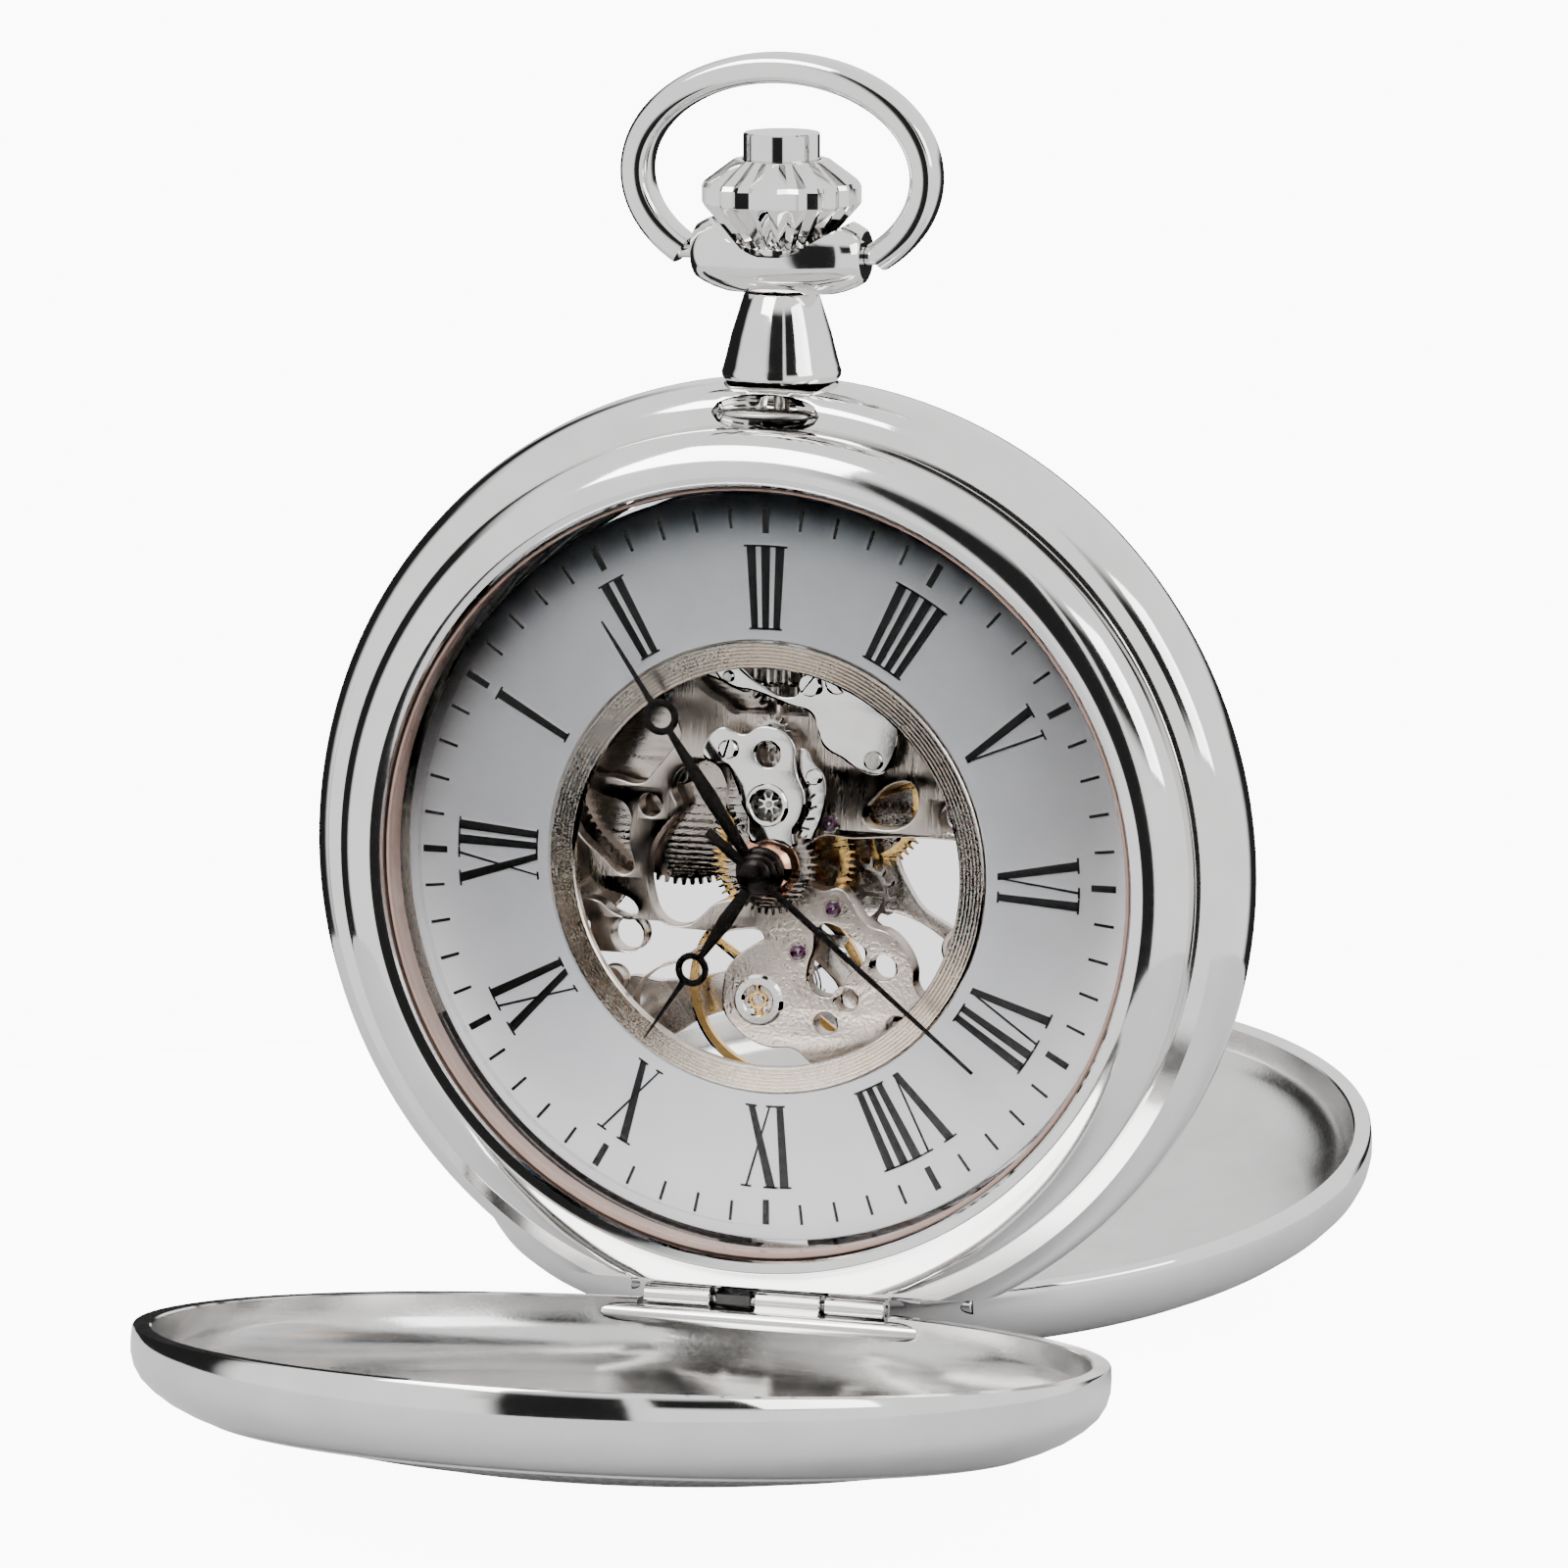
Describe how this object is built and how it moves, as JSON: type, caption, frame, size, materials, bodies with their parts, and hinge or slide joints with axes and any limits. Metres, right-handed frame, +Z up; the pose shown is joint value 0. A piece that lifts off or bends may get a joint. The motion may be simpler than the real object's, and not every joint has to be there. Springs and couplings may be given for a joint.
{
  "type": "pocket watch",
  "caption": "Hunter-cased skeleton pocket watch, standing open on its two hinged engine-turned covers, with a fluted crown, a push button and a swinging bow.",
  "frame": {"origin": "middle of the footprint, on the surface the open covers stand on", "axes": "+X to the wearer's right facing the dial, +Y from the dial to the back, +Z up through the crown; the two open covers lie along Y"},
  "size_m": [0.0498, 0.098, 0.0685],
  "materials": {
    "polished_steel": "mirror polished",
    "polished_inner": "polished steel, hand finished",
    "engine_turned_steel": "polished, engine-turned with a flat polished shield",
    "crystal": "clear, polished",
    "seal": "translucent, satin",
    "spring_steel": "tempered, blued",
    "dial_silver": "silvered, fine satin, black printed numerals and track",
    "dial_ring_silver": "silvered, finely grooved",
    "nickel_plate": "frosted nickel with a warm tint",
    "movement_holder": "satin",
    "gilt_brass": "gilt",
    "steel_work": "straight grained",
    "hand_black": "black, semi-gloss"
  },
  "bodies": {
    "case": {"case_band": "polished_steel", "front_bezel": "polished_steel", "rear_bezel": "polished_steel", "front_crystal": "crystal", "rear_crystal": "crystal", "front_crystal_seal": "seal", "rear_crystal_seal": "seal", "front_case_hinge": "polished_steel", "rear_case_hinge": "polished_steel", "front_hinge_pin": "steel_work", "rear_hinge_pin": "steel_work", "front_fly_spring": "spring_steel", "rear_fly_spring": "spring_steel", "pendant_neck": "polished_steel", "pendant_collar": "polished_steel", "dial": "dial_silver", "dial_inner_ring": "dial_ring_silver", "movement_ring": "movement_holder", "main_plate": "nickel_plate", "barrel_bridge": "nickel_plate", "train_bridge": "nickel_plate", "balance_cock": "nickel_plate", "pallet_bridge": "nickel_plate", "setting_cover_plate": "polished_inner", "setting_lever_spring": "polished_inner", "hairspring": "spring_steel"},
    "front_lid": {"front_cover": "engine_turned_steel", "front_cover_joint": "polished_steel"},
    "rear_lid": {"rear_cover": "engine_turned_steel", "rear_cover_joint": "polished_steel"},
    "bow": {"bow": "polished_steel"},
    "winding_pinion": {"winding_pinion": "steel_work"},
    "crown_and_stem": {"crown": "polished_steel", "winding_stem": "steel_work"},
    "clutch": {"clutch_wheel": "steel_work"},
    "button": {"crown_button": "polished_steel"},
    "front_catch": {"front_cover_catch": "steel_work"},
    "rear_catch": {"rear_cover_catch": "steel_work"},
    "setting_lever": {"setting_lever": "steel_work"},
    "yoke": {"yoke": "steel_work"},
    "crown_wheel": {"crown_wheel": "steel_work"},
    "ratchet": {"ratchet_wheel": "steel_work", "barrel_arbor": "steel_work"},
    "click": {"click": "steel_work"},
    "barrel": {"barrel_drum": "gilt_brass", "mainspring": "spring_steel"},
    "seconds": {"second_hand": "hand_black", "fourth_wheel": "gilt_brass"},
    "minutes": {"minute_hand": "hand_black", "cannon_pinion": "steel_work", "center_wheel": "gilt_brass"},
    "hours": {"hour_hand": "hand_black", "hour_wheel": "steel_work"},
    "minute_work": {"minute_wheel": "steel_work"},
    "setting_work": {"setting_wheel": "steel_work"},
    "third": {"third_wheel": "gilt_brass"},
    "escape": {"escape_wheel": "steel_work"},
    "pallets": {"pallet_fork": "steel_work"},
    "balance": {"balance_wheel": "gilt_brass"}
  },
  "joints": [
    {"name": "front_lid_hinge", "type": "hinge", "parent": "case", "child": "front_lid", "pos_m": [0, -0.0026, 0.00434], "axis": [1, 0, 0], "range_deg": [-81.8, 0]},
    {"name": "rear_lid_hinge", "type": "hinge", "parent": "case", "child": "rear_lid", "pos_m": [0, 0.0026, 0.00434], "axis": [1, 0, 0], "range_deg": [0, 81.8]},
    {"name": "bow_swing", "type": "hinge", "parent": "case", "child": "bow", "pos_m": [0, 0, 0.05834], "axis": [1, 0, 0], "range_deg": [-110, 110]},
    {"name": "crown_turn", "type": "hinge", "parent": "case", "child": "winding_pinion", "pos_m": [0, 0, 0.05834], "axis": [0, 0, 1], "continuous": true},
    {"name": "crown_pull", "type": "slide", "parent": "winding_pinion", "child": "crown_and_stem", "axis": [0, 0, 1], "range_m": [0, 0.0008]},
    {"name": "clutch_shift", "type": "slide", "parent": "winding_pinion", "child": "clutch", "axis": [0, 0, 1], "range_m": [-0.0005, 0]},
    {"name": "button_press", "type": "slide", "parent": "crown_and_stem", "child": "button", "axis": [0, 0, 1], "range_m": [-0.0006, 0], "stiffness_N_per_m": 300, "springref_m": 0.001},
    {"name": "front_catch_slide", "type": "slide", "parent": "case", "child": "front_catch", "axis": [0, 0, 1], "range_m": [-0.0003, 0]},
    {"name": "rear_catch_slide", "type": "slide", "parent": "case", "child": "rear_catch", "axis": [0, 0, 1], "range_m": [-0.0003, 0]},
    {"name": "setting_lever_pivot", "type": "hinge", "parent": "case", "child": "setting_lever", "pos_m": [0.0032, -0.0015, 0.03764], "axis": [0, 1, 0], "range_deg": [0, 16.5]},
    {"name": "yoke_pivot", "type": "hinge", "parent": "case", "child": "yoke", "pos_m": [-0.0034, -0.0015, 0.03744], "axis": [0, 1, 0], "range_deg": [0, 13.8]},
    {"name": "crown_wheel_spin", "type": "hinge", "parent": "case", "child": "crown_wheel", "pos_m": [0, 0.002, 0.03444], "axis": [0, 1, 0], "continuous": true},
    {"name": "ratchet_spin", "type": "hinge", "parent": "case", "child": "ratchet", "pos_m": [-0.00554, 0.002, 0.03124], "axis": [0, 1, 0], "continuous": true},
    {"name": "click_pivot", "type": "hinge", "parent": "case", "child": "click", "pos_m": [-0.0094, 0.002, 0.03554], "axis": [0, 1, 0], "range_deg": [0, 8]},
    {"name": "barrel_spin", "type": "hinge", "parent": "case", "child": "barrel", "pos_m": [-0.00554, 0.001, 0.03124], "axis": [0, 1, 0], "continuous": true},
    {"name": "seconds_turn", "type": "hinge", "parent": "case", "child": "seconds", "pos_m": [0, -0.004, 0.02704], "axis": [0, 1, 0], "continuous": true},
    {"name": "minutes_turn", "type": "hinge", "parent": "case", "child": "minutes", "pos_m": [0, -0.004, 0.02704], "axis": [0, 1, 0], "continuous": true},
    {"name": "hours_turn", "type": "hinge", "parent": "case", "child": "hours", "pos_m": [0, -0.003, 0.02704], "axis": [0, 1, 0], "continuous": true},
    {"name": "minute_work_spin", "type": "hinge", "parent": "case", "child": "minute_work", "pos_m": [0, -0.0015, 0.03029], "axis": [0, 1, 0], "continuous": true},
    {"name": "setting_work_spin", "type": "hinge", "parent": "case", "child": "setting_work", "pos_m": [0, -0.0014, 0.03383], "axis": [0, 1, 0], "continuous": true},
    {"name": "third_spin", "type": "hinge", "parent": "case", "child": "third", "pos_m": [0.00331, 0.001, 0.02992], "axis": [0, 1, 0], "continuous": true},
    {"name": "escape_spin", "type": "hinge", "parent": "case", "child": "escape", "pos_m": [0.00357, 0.001, 0.0252], "axis": [0, 1, 0], "continuous": true},
    {"name": "pallet_rock", "type": "hinge", "parent": "case", "child": "pallets", "pos_m": [0.0014, 0.001, 0.02294], "axis": [0, 1, 0], "range_deg": [-5, 5]},
    {"name": "balance_swing", "type": "hinge", "parent": "case", "child": "balance", "pos_m": [-0.0009, 0.002, 0.01984], "axis": [0, 1, 0], "range_deg": [-270, 270], "stiffness_Nm_per_rad": 0.0000005}
  ],
  "couplings": [
    {"joint": "clutch_shift", "follows": "crown_pull", "ratio": -0.625},
    {"joint": "setting_lever_pivot", "follows": "crown_pull", "rad_per_m": 360},
    {"joint": "yoke_pivot", "follows": "crown_pull", "rad_per_m": 300},
    {"joint": "front_catch_slide", "follows": "button_press", "ratio": 0.5},
    {"joint": "rear_catch_slide", "follows": "button_press", "ratio": 0.5},
    {"joint": "crown_wheel_spin", "follows": "crown_turn", "ratio": 0.66667},
    {"joint": "ratchet_spin", "follows": "crown_turn", "ratio": -0.4},
    {"joint": "minutes_turn", "follows": "seconds_turn", "ratio": 0.016667},
    {"joint": "hours_turn", "follows": "seconds_turn", "ratio": 0.0013889},
    {"joint": "minute_work_spin", "follows": "seconds_turn", "ratio": -0.0055556},
    {"joint": "setting_work_spin", "follows": "seconds_turn", "ratio": 0.012311},
    {"joint": "third_spin", "follows": "seconds_turn", "ratio": -0.13333},
    {"joint": "escape_spin", "follows": "seconds_turn", "ratio": -10},
    {"joint": "barrel_spin", "follows": "seconds_turn", "ratio": -0.0025748}
  ]
}
